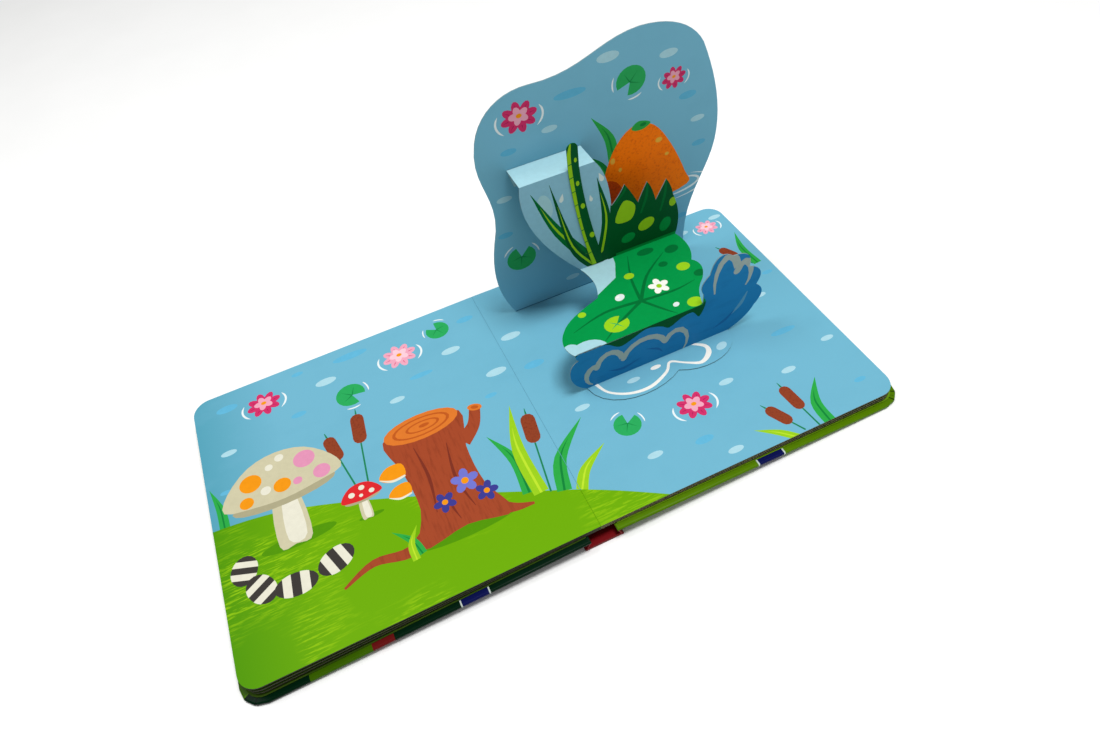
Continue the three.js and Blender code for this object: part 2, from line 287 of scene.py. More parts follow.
def cut_print(outline, motifs):
    """The outline as triangles, each with the ink of the last motif that covers it."""
    points, faces = [], []
    for shape in [outline] + [motif[1] for motif in motifs]:
        faces.append(list(range(len(points), len(points) + len(shape))))
        points += [Vector(p) for p in facing_up(shape)]
    found, _, triangles, _, _, owners = delaunay_2d_cdt(points, [], faces, 1, 1e-4, True)
    kept = [(t, max(o)) for t, o in zip(triangles, owners) if 0 in o]
    return found, [t for t, _ in kept], [None if top == 0 else motifs[top - 1][0] for _, top in kept]


def printed_sheet(name, facets, inks, ground, back, rim, thickness, place):
    """One closed sheet of card from flat facets that meet in folds. A facet is an outline,
    its motifs and a function from flat millimetres to the printed face. The back lies
    under the print by the card's thickness, with mitred folds. The rim is a list of inks
    from the print down, each with the share of the thickness where it ends."""
    order = sorted(inks)
    made = bmesh.new()
    for outline, motifs, lay in facets:
        points, triangles, tops = cut_print(outline, motifs)
        corners = [made.verts.new(Vector(lay(*p)) * MM) for p in points]
        for triangle, top in zip(triangles, tops):
            face = made.faces.new([corners[i] for i in triangle])
            face.material_index = order.index(top or ground)
    bmesh.ops.remove_doubles(made, verts=made.verts, dist=0.01 * MM)
    bmesh.ops.dissolve_degenerate(made, edges=made.edges, dist=0.01 * MM)
    bmesh.ops.delete(made, geom=[v for v in made.verts if not v.link_faces], context="VERTS")
    made.normal_update()
    front, rims = list(made.faces), [e for e in made.edges if e.is_boundary]
    levels = []
    for corner in list(made.verts):
        facings = []
        for face in corner.link_faces:
            if all(face.normal.dot(seen) < 0.999 for seen in facings):
                facings.append(face.normal.copy())
        mitre = sum(facings, Vector())
        levels.append((corner, -thickness * MM * mitre / mitre.dot(facings[0])))
    under = {corner: made.verts.new(corner.co + drop) for corner, drop in levels}
    for face in front:
        below = made.faces.new([under[v] for v in reversed(face.verts)])
        below.material_index = order.index(back)
    upper = {corner: corner for corner, _ in levels}
    on_rim = {v for e in rims for v in e.verts}
    for tone, end in rim:
        lower = under if end == 1 else {
            corner: made.verts.new(corner.co + end * drop) for corner, drop in levels if corner in on_rim}
        for edge in rims:
            loop = edge.link_loops[0]
            a, b = loop.vert, loop.link_loop_next.vert
            wall = made.faces.new([upper[b], upper[a], lower[a], lower[b]])
            wall.material_index = order.index(tone)
        upper = lower
    made.transform(place)
    mesh = bpy.data.meshes.new(name)
    made.to_mesh(mesh)
    made.free()
    return shown(name, mesh, [inks[key] for key in order])


def turned(points, centre, degrees=0):
    """Points about the origin, turned and moved to their centre."""
    c, s = math.cos(math.radians(degrees)), math.sin(math.radians(degrees))
    return [(centre[0] + c * x - s * y, centre[1] + s * x + c * y) for x, y in points]


def oval(x, y, across, up, degrees=0, corners=20):
    """An ellipse by its centre and half sizes."""
    angles = [2 * math.pi * i / corners for i in range(corners)]
    return turned([(across * math.cos(a), up * math.sin(a)) for a in angles], (x, y), degrees)


def smooth(points, steps=4, closed=True):
    """A curve through the points, with so many steps from one to the next."""
    count = len(points)
    line = []
    for i in range(count if closed else count - 1):
        if closed:
            a, b, c, d = (points[(i + k) % count] for k in (-1, 0, 1, 2))
        else:
            a, b, c, d = (points[min(max(i + k, 0), count - 1)] for k in (-1, 0, 1, 2))
        for step in range(steps):
            t = step / steps
            line.append(tuple(
                0.5 * (2 * b[k] + (c[k] - a[k]) * t + (2 * a[k] - 5 * b[k] + 4 * c[k] - d[k]) * t * t
                       + (3 * b[k] - a[k] - 3 * c[k] + d[k]) * t ** 3) for k in (0, 1)))
    return line if closed else line + [tuple(points[-1])]


def ribbon(points, widths, steps=5):
    """A band along a curve, with its full width at each of the points."""
    middle = smooth([p + (w,) if len(p) == 2 else p for p, w in zip(points, widths)], steps, False)
    spread = smooth([(i, w) for i, w in enumerate(widths)], steps, False)
    left_side, right_side = [], []
    for i, here in enumerate(middle):
        before, after = middle[max(i - 1, 0)], middle[min(i + 1, len(middle) - 1)]
        along = Vector((after[0] - before[0], after[1] - before[1])).normalized()
        half = max(spread[i][1], 0.05) / 2
        left_side.append((here[0] - along.y * half, here[1] + along.x * half))
        right_side.append((here[0] + along.y * half, here[1] - along.x * half))
    return left_side + right_side[::-1]


def arc(x, y, across, up, start, end, width):
    """A stroke along part of an ellipse, thin at both ends."""
    turns = [math.radians(start + (end - start) * i / 6) for i in range(7)]
    path = [(x + across * math.cos(a), y + up * math.sin(a)) for a in turns]
    return ribbon(path, [0.1, 0.8 * width, width, width, width, 0.8 * width, 0.1], 2)


def blade(foot, tip, bend, width, tone="blade", rib="blade_shade"):
    """A blade of grass with its midrib, bent to one side."""
    middle = ((foot[0] + tip[0]) / 2 + bend, (foot[1] + tip[1]) / 2)
    leaf = ribbon([foot, middle, tip], [width, 0.85 * width, 0.1])
    vein = ribbon([foot, middle, ((middle[0] + tip[0]) / 2 + bend * 0.25, (middle[1] + tip[1]) / 2)],
                  [0.16 * width, 0.14 * width, 0.1])
    return [(tone, leaf), (rib, vein)]


def cattail(foot, top, length, width):
    """A bulrush: a thin stalk, a brown head and the bare tip above it."""
    along = (Vector(top) - Vector(foot)).normalized()
    low = Vector(top) - along * length
    side = Vector((-along.y, along.x)) * width / 2
    turns = [math.pi * i / 6 for i in range(7)]
    cap = [Vector(top) - along * width / 2 + side * math.cos(a) + along * math.sin(a) * width / 2 for a in turns]
    base = [low + along * width / 2 - side * math.cos(a) - along * math.sin(a) * width / 2 for a in turns]
    tip = Vector(top) + along * width * 0.5
    return [("stalk", ribbon([foot, tuple(low)], [1.1, 1.0])),
            ("stalk", ribbon([tuple(top), tuple(tip)], [1.2, 0.4])),
            ("reed", [tuple(p) for p in cap + base])]


def blossom(x, y, size, petal="lotus", inner="lotus_pale", fold="lotus_shade"):
    """A floating flower seen from above its edge: two rings of round petals, a yellow heart
    and a ripple on each side."""
    shapes = [("white", arc(x, y - 0.1 * size, 1.35 * size, 0.95 * size, 150, 225, 0.12 * size)),
              ("white", arc(x, y - 0.1 * size, 1.35 * size, 0.95 * size, -45, 30, 0.12 * size))]
    for count, reach, across, up, tone, start in ((8, 0.62, 0.44, 0.25, petal, 10), (5, 0.3, 0.3, 0.2, inner, 36)):
        for i in range(count):
            turn = math.radians(start + 360 / count * i)
            place = (x + reach * size * math.cos(turn), y + 0.8 * reach * size * math.sin(turn) + (0.08 * size if count == 5 else 0))
            shapes.append((tone, oval(*place, across * size, up * size, start + 360 / count * i, 12)))
            if count == 8:
                shapes.append((fold, ribbon([place, (place[0] + 0.3 * size * math.cos(turn),
                                                     place[1] + 0.24 * size * math.sin(turn))], [0.06 * size, 0.1], 2)))
    return shapes + [("amber", oval(x, y + 0.08 * size, 0.17 * size, 0.13 * size, 0, 10))]


def lily_pad(x, y, size, opening, tone="pad", vein="pad_shade"):
    """A round floating leaf with a notch, veins from the notch and two ripples beside it."""
    turns = [math.radians(opening + 26 + 308 * i / 18) for i in range(19)]
    rim = [(x + size * math.cos(a), y + 0.93 * size * math.sin(a)) for a in turns]
    heart = (x + 0.12 * size * math.cos(math.radians(opening)), y + 0.12 * size * math.sin(math.radians(opening)))
    shapes = [("white", arc(x, y, 1.25 * size, 1.2 * size, opening + 30, opening + 75, 0.1 * size)),
              ("white", arc(x, y, 1.25 * size, 1.2 * size, opening - 75, opening - 30, 0.1 * size)),
              (tone, [heart] + rim)]
    for spread in (100, 180, 260):
        a = math.radians(opening + spread)
        end = (x + 0.7 * size * math.cos(a), y + 0.65 * size * math.sin(a))
        shapes.append((vein, ribbon([heart, end], [0.09 * size, 0.1])))
    return shapes


def glints(tone, places):
    """Flat ovals of lighter or darker water, by centre and half width."""
    return [(tone, oval(x, y, w, max(0.42 * w, 1.4) if w < 8 else 0.25 * w, 0, 16)) for x, y, w in places]


def striped_pebble(x, y, across, up, degrees):
    """A dark oval pebble with two pale bands."""
    shapes = [("slate", oval(x, y, across, up, degrees))]
    for start, end in ((-0.62, -0.2), (0.22, 0.62)):
        cuts = [start + (end - start) * i / 4 for i in range(5)]
        upper = [(across * c, up * math.sqrt(1 - c * c)) for c in cuts]
        band = upper + [(u, -v) for u, v in reversed(upper)]
        shapes.append(("cream_pale", turned(band, (x, y), degrees)))
    return shapes


def toadstool(x, y, cap, stem, tone, spot_tones, spots):
    """A toadstool on the bank: stem, gills and a domed cap with round spots."""
    foot = y - stem
    shapes = [("hill_shade", oval(x + 2, foot, 0.62 * cap, 0.12 * cap)),
              ("cream", smooth([(x - 0.26 * cap, foot), (x - 0.2 * cap, y), (x + 0.2 * cap, y),
                                (x + 0.28 * cap, foot), (x, foot - 0.06 * cap)])),
              ("cream_pale", smooth([(x - 0.1 * cap, foot + 0.06 * cap), (x - 0.06 * cap, y - 1),
                                     (x + 0.15 * cap, y - 1), (x + 0.2 * cap, foot + 0.05 * cap)])),
              ("cream_shade", oval(x, y, 0.88 * cap, 0.2 * cap)),
              (tone, smooth([(x - cap, y + 0.1 * cap), (x - 0.9 * cap, y + 0.45 * cap),
                             (x - 0.5 * cap, y + 0.82 * cap), (x, y + 0.93 * cap),
                             (x + 0.5 * cap, y + 0.8 * cap), (x + 0.9 * cap, y + 0.42 * cap),
                             (x + cap, y + 0.08 * cap), (x + 0.5 * cap, y - 0.03 * cap),
                             (x, y - 0.08 * cap), (x - 0.5 * cap, y - 0.03 * cap)], 3))]
    for i, (a, b, r) in enumerate(spots):
        shapes.append((spot_tones[i % len(spot_tones)], oval(x + a * cap, y + b * cap, r * cap, 0.93 * r * cap)))
    return shapes


def flower(x, y, size, petal, centre, degrees=0):
    """A small five-petalled flower from above."""
    shapes = []
    for i in range(5):
        a = math.radians(degrees + 72 * i)
        shapes.append((petal, oval(x + 0.6 * size * math.cos(a), y + 0.6 * size * math.sin(a),
                                   0.46 * size, 0.34 * size, degrees + 72 * i, 10)))
    return shapes + [(centre, oval(x, y, 0.28 * size, 0.28 * size, 0, 10))]


# The picture of the left-hand page, in millimetres from the gutter and from the foot.
hill_edge = smooth([(-200, 99), (-178, 97), (-155, 92.5), (-128, 83.5), (-96, 70.5), (-60, 54.5),
                    (-25, 37.5), (0, 25.5), (22, 13), (44, -1)], 4, False)
hill = [("hill", hill_edge + [(44, -4), (-200, -4)])]
gutter_plants = (
    blade((-26, 37), (-34, 84), 5, 8) + blade((-20, 34), (-13, 99), -4, 9, "lime", "lime_light")
    + cattail((-15, 32), (-6.5, 88), 22, 9) + blade((-8, 29), (22, 70), -8, 8.5)
    + blade((1, 25), (26, 47), -5, 7, "lime", "lime_light"))
left_picture = (
    glints("mid", [(-176, 186, 7), (-128, 192, 4), (-92, 190, 12), (-134, 158, 5), (-54, 150, 8),
                   (-186, 122, 3.5), (-12, 182, 6), (-20, 112, 4)])
    + glints("pale", [(-112, 176, 7), (-180, 150, 5), (-30, 160, 6.5), (-74, 138, 5), (-10, 128, 7)])
    + blossom(-153, 178, 10.5) + lily_pad(-100, 157, 9.5, 320) + lily_pad(-32, 182, 8, 120)
    + blossom(-62, 173, 11, "lotus_pale", "lotus_light", "lotus")
    + cattail((-113, 82), (-122, 131), 20, 8) + cattail((-108, 80), (-101, 140), 23, 8.5)
    + blade((-190, 92), (-195, 128), 2, 6)
    + hill + gutter_plants
    + toadstool(-154, 104, 35, 33, "cream", ["amber", "rose", "cream_pale"],
                [(-0.5, 0.48, 0.19), (0.45, 0.55, 0.19), (0.05, 0.78, 0.08), (-0.62, 0.12, 0.12),
                 (0.68, 0.16, 0.15), (-0.15, 0.66, 0.07), (0.0, 0.2, 0.15), (0.26, 0.16, 0.08),
                 (-0.28, 0.22, 0.09)])
    + toadstool(-113, 79, 12, 13, "red", ["cream_pale"],
                [(-0.45, 0.4, 0.16), (0.1, 0.62, 0.15), (0.52, 0.25, 0.14), (-0.02, 0.2, 0.1)])
    + striped_pebble(-184, 66, 9, 7.5, 70) + striped_pebble(-177, 51, 10, 7.5, 120)
    + striped_pebble(-159, 45, 12, 7, 175) + striped_pebble(-136, 49, 11, 7.5, 20)
    + [("hill_shade", oval(-64, 33, 30, 5)),
       ("bark", ribbon([(-80, 42), (-98, 34), (-118, 37), (-136, 30)], [13, 7, 4.5, 1.5])),
       ("bark", ribbon([(-52, 42), (-38, 33), (-26, 30)], [12, 6, 1.5])),
       ("bark", smooth([(-92, 32), (-85, 56), (-87, 84), (-92, 110), (-68, 116), (-42, 111),
                        (-47, 84), (-46, 56), (-38, 31), (-64, 35)])),
       ("bark_shade", ribbon([(-76, 98), (-74, 74), (-77, 50)], [0.4, 2.0, 0.4])),
       ("bark_shade", ribbon([(-57, 92), (-60, 66), (-56, 44)], [0.4, 2.0, 0.4])),
       ("bark_shade", ribbon([(-67, 60), (-68, 50), (-66, 40)], [0.3, 1.4, 0.3])),
       ("heartwood", oval(-67, 111, 24, 9.5)), ("heartwood_ring", oval(-67, 111, 18.5, 7)),
       ("heartwood", oval(-67, 111, 16.5, 6)), ("heartwood_ring", oval(-66, 111, 11, 3.9)),
       ("heartwood", oval(-66, 111, 9.2, 3)), ("heartwood_ring", oval(-65, 111, 3.4, 1.3)),
       ("amber", smooth([(-101, 86), (-95, 92), (-86, 91), (-86, 82), (-95, 81)])),
       ("cream_pale", ribbon([(-101, 85.5), (-94, 81.5), (-86, 82)], [0.4, 1.6, 1.2])),
       ("amber", smooth([(-99, 72), (-94, 77), (-86, 77), (-86, 69), (-93, 68)])),
       ("cream_pale", ribbon([(-99, 71.5), (-93, 68.3), (-86, 69)], [0.4, 1.4, 1.0])),
       ("bark", ribbon([(-48, 88), (-38, 96), (-33, 107)], [11, 8, 7])),
       ("heartwood", oval(-32.5, 108.5, 4.6, 2.6, -20)), ("heartwood_ring", oval(-32.5, 108.5, 2.4, 1.3, -20))]
    + blade((-92, 30), (-104, 50), 3, 5) + blade((-96, 28), (-90, 48), -3, 4.5, "lime", "lime_light")
    + flower(-56, 62, 8, "lilac", "amber", 10) + flower(-71, 54, 6.5, "violet", "amber", 40)
    + flower(-47, 50, 6.5, "violet", "amber", 65))

# The picture of the right-hand page, most of which the pop-up stands over.
right_picture = (
    glints("mid", [(14, 122, 7), (166, 70, 9), (182, 16, 4), (130, 150, 6), (78, 22, 6), (189, 120, 4)])
    + glints("pale", [(10, 152, 7), (26, 76, 5), (48, 26, 5), (112, 52, 5), (150, 42, 5), (90, 8, 5),
                      (186, 52, 4.5), (190, 188, 5), (160, 184, 5), (172, 104, 4.5)])
    + hill + gutter_plants + blossom(86, 46, 10.5) + lily_pad(44, 52, 8.5, 60)
    + cattail((132, 1), (121, 24), 17, 7.5) + cattail((141, 0), (138, 33), 19, 7.5)
    + blade((148, -2), (160, 30), -5, 7.5) + blade((126, -2), (106, 14), 2, 5, "lime", "lime_light")
    + cattail((186, 132), (174, 156), 15, 7) + blade((189, 131), (193, 166), -3, 6)
    + blossom(179, 181, 8, "lotus_pale", "lotus_light", "lotus"))


def page_plan(side, inner, y0=0.0):
    """Outline of a leaf from above, in millimetres from the gutter and the foot."""
    plan = [(side * inner, y0)]
    for end in (-1, 1):
        for step in range(9):
            turn = step / 8 * math.pi / 2
            along = math.sin(turn) if end < 0 else math.cos(turn)
            across = math.cos(turn) if end < 0 else math.sin(turn)
            plan.append((side * (PAGE_WIDTH - PAGE_CORNER + PAGE_CORNER * along),
                         PAGE_HEIGHT / 2 + end * (PAGE_HEIGHT / 2 - PAGE_CORNER + PAGE_CORNER * across)))
    return plan + [(side * inner, PAGE_HEIGHT - y0)]


def leaf_drop(side, leaf, distance):
    """How far a leaf hangs below the topmost one at a distance from the gutter."""
    span = PAGE_WIDTH - GLUED_DEPTH
    share = max(0, distance - GLUED_DEPTH) / span
    return math.tan((COVER_SLOPE - TILT[side]) * leaf / LEAF_COUNT) * span * share ** LEAF_BOW


def bend_fields(side):
    """Bare fields that each start further out on a leaf, so that it has corners to bend at."""
    return [(None, [(side * d, -3), (side * 205, -3), (side * 205, 203), (side * d, 203)])
            for d in (CREASE_WIDTH, GLUED_DEPTH, 30, 65, 100, 135, 170)]


for side, picture, pieces in ((-1, left_picture, "left"), (1, right_picture, "right")):
    for leaf in range(LEAF_COUNT):
        def lay(x, y, side=side, leaf=leaf):
            distance = abs(x)
            dip = CREASE_DEPTH * max(0, 1 - distance / CREASE_WIDTH) if leaf == 0 else 0
            return (x, y - PAGE_HEIGHT / 2, -leaf * LEAF_THICKNESS - leaf_drop(side, leaf, distance) - dip)
        name = pieces + "_leaf_" + str(leaf + 1)
        motifs = bend_fields(side) + (picture if leaf == 0 else [])
        # Each leaf's rim has painted shade in dark bands above and below its cut edge.
        page = printed_sheet(name, [(page_plan(side, GUTTER_GAP), motifs, lay)], INKS,
                             "water" if leaf == 0 else "meadow", "meadow",
                             [("edge_dark", 0.36), (pieces + "_edge", 0.56), ("edge_dark", 1)],
                             LEAF_THICKNESS - 0.04, half_book(side))
        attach(page, BODY[side])
        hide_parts(pieces + "_pages")

# The pop-up flap: one die-cut card, printed on its face with water like the page's. It is
# folded along its foot, and the tab behind the fold is glued to the right-hand page, so
# that it stands up as the book opens. Its other side is printed in plain water blue.

CARD = 0.6
GLUE_GAP = 0.2
FLAP_FACE = 71
FLAP_START = 22
FLAP_FOLD = 131
FLAP_HEIGHT = 170.5
FLAP_TAB = 14
FLAP_TAB_INSET = 4


def outline(start, stretches, steps=10):
    """Corners of an outline of straight lines, with one point, and Bezier curves, with two or three."""
    corners, here = [start], start
    for stretch in stretches:
        controls = [here] + list(stretch)
        degree = len(stretch)
        for i in range(1, (steps if degree > 1 else 1) + 1):
            t = i / steps if degree > 1 else 1
            corners.append(tuple(sum(
                math.comb(degree, k) * (1 - t) ** (degree - k) * t ** k * controls[k][axis]
                for k in range(degree + 1)) for axis in (0, 1)))
        here = stretch[-1]
    return corners[:-1] if (Vector(corners[-1]) - Vector(start)).length < 1e-6 else corners


def flap_at(along, up):
    return (FLAP_START + along * FLAP_FOLD, up * FLAP_HEIGHT)


flap_outline = outline(flap_at(0, 0), [
    [flap_at(-0.07, 0.11), flap_at(-0.09, 0.22), flap_at(-0.045, 0.365)],
    [flap_at(0.035, 0.56), flap_at(-0.11, 0.62), flap_at(-0.05, 0.785)],
    [flap_at(-0.015, 0.88), flap_at(0.09, 0.93), flap_at(0.215, 0.925)],
    [flap_at(0.46, 0.91), flap_at(0.535, 0.997), flap_at(0.73, 1)],
    [flap_at(0.88, 0.997), flap_at(0.99, 0.955), flap_at(1.045, 0.88)],
    [flap_at(1.12, 0.75), flap_at(1.17, 0.61), flap_at(1.145, 0.48)],
    [flap_at(1.115, 0.34), flap_at(0.975, 0.26), flap_at(1, 0)]])
flap_tab = [(FLAP_START, 0), (FLAP_START + FLAP_FOLD, 0), (FLAP_START + FLAP_FOLD - FLAP_TAB_INSET, -FLAP_TAB),
            (FLAP_START + FLAP_TAB_INSET, -FLAP_TAB)]

INKS.update({
    "flap_water": ink("flap_water", "#76B4CC", "#6FACC4", (40, 25), 0.5),
    "boulder": ink("sponged_orange", "#FF7A00", "#EC6600", (1.6, 1.6), 0.16),
    "boulder_shade": ink("sponged_rust", "#CE4A08", "#B23C06", (1.6, 1.6), 0.16),
    "lichen": ink("lichen_yellow", "#F0B23C"),
    # The dark blue ink at the flap's foot is painted shade where the fold meets the page.
    "fold_shade": ink("fold_shade", "#14648C"),
})
# Its first strip is painted shade along the flap's foot, where the fold meets the page.
flap_picture = (
    [("fold_shade", [(0, -1), (200, -1), (200, 0.55), (0, 0.55)])]
    + glints("mid", [(34, 122, 5), (74, 145, 10), (150, 120, 6), (160, 84, 5), (60, 72, 5), (150, 30, 5), (24, 66, 5)])
    + glints("pale", [(60, 128, 5), (98, 159, 7), (136, 150, 6), (27, 92, 5), (84, 30, 6), (120, 26, 6),
                      (66, 12, 5), (158, 102, 5)])
    + blossom(43, 141, 10.5) + lily_pad(112, 141, 9.5, 230) + lily_pad(32, 44, 10, 80) + blossom(140, 134, 7.5)
    + blade((100, 92), (86, 126), 4, 7.5) + blade((96, 80), (78, 104), 3, 6.5, "blade_shade", "blade")
    + [("white", arc(140, 56, 22, 6, -100, 70, 1.6)), ("white", arc(142, 55, 27, 9, -90, 60, 1.2)),
       ("boulder", smooth([(90, 50), (91, 74), (99, 98), (112, 111), (127, 108), (140, 90), (151, 66),
                           (153, 55), (122, 50)])),
       ("boulder_shade", smooth([(84, 50), (83, 66), (90, 78), (101, 76), (108, 62), (109, 50)])),
       ("lichen", oval(99, 92, 1.6, 2.2)), ("lichen", oval(104, 84, 1.2, 1.6)),
       ("lichen", oval(131, 96, 2.4, 1.8)), ("lichen", oval(137, 84, 1.5, 1.2)),
       ("blade", smooth([(112, 110), (117, 113.5), (125, 110.5), (121, 107.5), (115, 107.5)])),
       ("blade_shade", oval(120, 110.4, 2.2, 1.2))])

flap = printed_sheet(
    "popup_flap_card",
    [(flap_outline, flap_picture, lambda x, s: (x, FLAP_FACE, GLUE_GAP + s)),
     (flap_tab, [], lambda x, s: (x, FLAP_FACE - s, GLUE_GAP))],
    INKS, "flap_water", "water", [("cut", 1)], CARD, half_book(1))
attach(flap, BODY[1])
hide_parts("popup_flap")


# The pop-up steps: one die-cut strip of printed card, folded by the press into a tab glued
# to the flap, an upper shelf, a riser, a lower shelf, a front riser and a foot glued to the
# page. The wave's crest stands up past the lower fold. Its inner side is printed in plain
# pale blue.

STRIP = {"upper": 111.2, "upper_depth": 19, "lower": 34.6, "lower_depth": 64.8, "tab": 12, "tab_inset": 3,
         "shelf": (31, 78), "neck": (64, 134), "leaf": (29, 115), "foot": (35, 136), "foot_depth": 21,
         "crest_reach": 19, "crest": 70}
riser_face = FLAP_FACE - STRIP["upper_depth"]
wave_face = riser_face - STRIP["lower_depth"]
foot_top = GLUE_GAP + CARD
strip_back = FLAP_FACE - GLUE_GAP

# Places along the strip, laid flat from the foot's fold.
wave_fold = STRIP["lower"] - foot_top
riser_fold = wave_fold + STRIP["lower_depth"]
shelf_fold = riser_fold + STRIP["upper"] - STRIP["lower"]
tab_fold = shelf_fold + strip_back - riser_face


def on_wave(x, z):
    return (x, z - foot_top)


def on_leaf(x, y):
    return (x, wave_fold + y - wave_face)


def on_riser(x, z):
    return (x, riser_fold + z - STRIP["lower"])


def on_shelf(x, y):
    return (x, shelf_fold + y - riser_face)


def flat(shape, face):
    return [face(*p) for p in shape]


def riser_at(along, up):
    low = STRIP["lower"] - CARD
    return (STRIP["shelf"][0] + along * (STRIP["neck"][1] - STRIP["shelf"][0]), low + up * (STRIP["upper"] - low))


crown = []
for tip, tip_up, dip, dip_up in ((0.92, 0.61, 0.85, 0.44), (0.79, 0.65, 0.73, 0.48), (0.64, 0.7, 0.55, 0.54)):
    crown += [[riser_at(tip + 0.04, tip_up - 0.08), riser_at(tip, tip_up)],
              [riser_at(tip - 0.04, tip_up - 0.1), riser_at(dip, dip_up)]]
riser_outline = outline((STRIP["neck"][0], STRIP["lower"]), [
    [(STRIP["neck"][1], STRIP["lower"])],
    [riser_at(1.03, 0.15), riser_at(1.02, 0.28), riser_at(0.97, 0.44)]] + crown + [
    [riser_at(0.545, 0.75), riser_at(0.515, 0.9), (STRIP["shelf"][1], STRIP["upper"])],
    [(STRIP["shelf"][0], STRIP["upper"])],
    [riser_at(-0.04, 0.7), riser_at(0.09, 0.36), (STRIP["neck"][0], STRIP["lower"])]])


def leaf_at(along, deep):
    return (STRIP["leaf"][0] + along * (STRIP["neck"][1] - STRIP["leaf"][0]),
            wave_face + deep * (riser_face - wave_face))


leaf_outline = outline((STRIP["neck"][0], riser_face), [
    [leaf_at(0.36, 0.85), leaf_at(0.37, 0.72), leaf_at(0.315, 0.56)],
    [leaf_at(0.22, 0.5), leaf_at(0.085, 0.45), leaf_at(0.02, 0.31)],
    [leaf_at(-0.03, 0.22), leaf_at(-0.04, 0.1), (STRIP["leaf"][0], wave_face)],
    [(STRIP["leaf"][1], wave_face)],
    [leaf_at(0.84, 0.15), leaf_at(0.875, 0.23), leaf_at(0.93, 0.3)],
    [leaf_at(1.02, 0.47), leaf_at(0.96, 0.58)],
    [leaf_at(1.04, 0.76), (STRIP["neck"][1], riser_face)]])


def crest_at(along, up):
    return (STRIP["leaf"][1] + along * (STRIP["foot"][1] + STRIP["crest_reach"] - STRIP["leaf"][1]),
            foot_top + up * (STRIP["crest"] - foot_top))


def edge_at(along, up):
    return (STRIP["leaf"][0] + along, foot_top + up * (STRIP["lower"] - foot_top))


wave_outline = outline((STRIP["foot"][0], foot_top), [
    [(STRIP["foot"][1], foot_top)],
    [crest_at(0.7, 0.04), crest_at(0.88, 0.1), crest_at(0.97, 0.21)],
    [crest_at(1.2, 0.35), crest_at(0.95, 0.47)],
    [crest_at(1.12, 0.64), crest_at(0.77, 0.73)],
    [crest_at(0.82, 0.92), crest_at(0.45, 0.93)],
    [crest_at(0.17, 1.08), crest_at(0.08, 0.81)],
    [crest_at(-0.12, 0.71), crest_at(0, 0.6)],
    [(STRIP["leaf"][1], STRIP["lower"])], [(STRIP["leaf"][0], STRIP["lower"])],
    [edge_at(0, 0.9), edge_at(2, 0.84)],
    [edge_at(-7, 0.78), edge_at(-7, 0.23), (STRIP["foot"][0], foot_top)]])


def foot_at(along, out):
    return (STRIP["foot"][0] + along * (STRIP["foot"][1] - STRIP["foot"][0]), wave_face - out * STRIP["foot_depth"])


foot_outline = outline((STRIP["foot"][0], wave_face), [
    [(STRIP["foot"][1], wave_face)],
    [foot_at(1, 0.9), foot_at(0.72, 1.15), foot_at(0.56, 0.66)],
    [foot_at(0.38, 1.2), foot_at(0.03, 1.1), (STRIP["foot"][0], wave_face)]])
low, high = STRIP["shelf"]
shelf_outline = [(low, riser_face), (high, riser_face), (high, strip_back), (low, strip_back)]
tab_outline = [(low, tab_fold), (high, tab_fold), (high - STRIP["tab_inset"], tab_fold + STRIP["tab"]),
               (low + STRIP["tab_inset"], tab_fold + STRIP["tab"])]

INKS.update({
    "spray": ink("spray_blue", "#A3CDD6"),
    "mist": ink("mist_blue", "#8DBFD4"),
    "drop": ink("drop_grey", "#D9E3E0"),
    "bed": ink("leaf_green", "#008E42"),
    "bed_shade": ink("deep_leaf_green", "#006A30"),
    "bed_dark": ink("bottle_green", "#005426"),
    "wave": ink("wave_blue", "#227FB6", "#1E73A9", (18, 6), 0.3),
    "wave_dark": ink("wave_deep_blue", "#1D6BA4"),
    "wave_light": ink("wave_light_blue", "#5E9DBD"),
    "foam": ink("foam_grey", "#A9B6AE"),
    "bloom": ink("bloom_white", "#F1EFE6"),
})


def drop(x, y, size, degrees):
    """A drop of spray with a pointed tail."""
    return ("drop", turned([(0, 1.9 * size), (0.45 * size, 0.7 * size), (0.62 * size, 0), (0.4 * size, -0.55 * size),
                            (0, -0.75 * size), (-0.4 * size, -0.55 * size), (-0.62 * size, 0),
                            (-0.45 * size, 0.7 * size)], (x, y), degrees))


def banded_blade(foot, middle, tip, width, tone="bed_dark", rib="lime"):
    """A broad blade with a lighter midrib."""
    return [(tone, ribbon([foot, middle, tip], [width, 0.8 * width, 0.2])),
            (rib, ribbon([foot, middle, ((middle[0] + 2 * tip[0]) / 3, (middle[1] + 2 * tip[1]) / 3)],
                         [0.22 * width, 0.18 * width, 0.1]))]


def scallops(lobes, width):
    """A line of foam: a band along part of each oval in turn, thin at both ends and round
    where two parts meet. A lobe is a centre, two half sizes and its first and last angle."""
    shapes = []
    for lobe, (x, y, across, up, start, end) in enumerate(lobes):
        turns = [math.radians(start + (end - start) * i / 7) for i in range(8)]
        path = [(x + across * math.cos(a), y + up * math.sin(a)) for a in turns]
        first, last = lobe == 0, lobe == len(lobes) - 1
        shapes.append(("foam", ribbon(path, [width * min(1, 0.2 + i / 5 if first else 1, 1.6 - i / 5 if last else 1)
                                             for i in range(8)], 1)))
        if not first:
            shapes.append(("foam", oval(*path[0], width / 2, width / 2, 0, 12)))
    return shapes


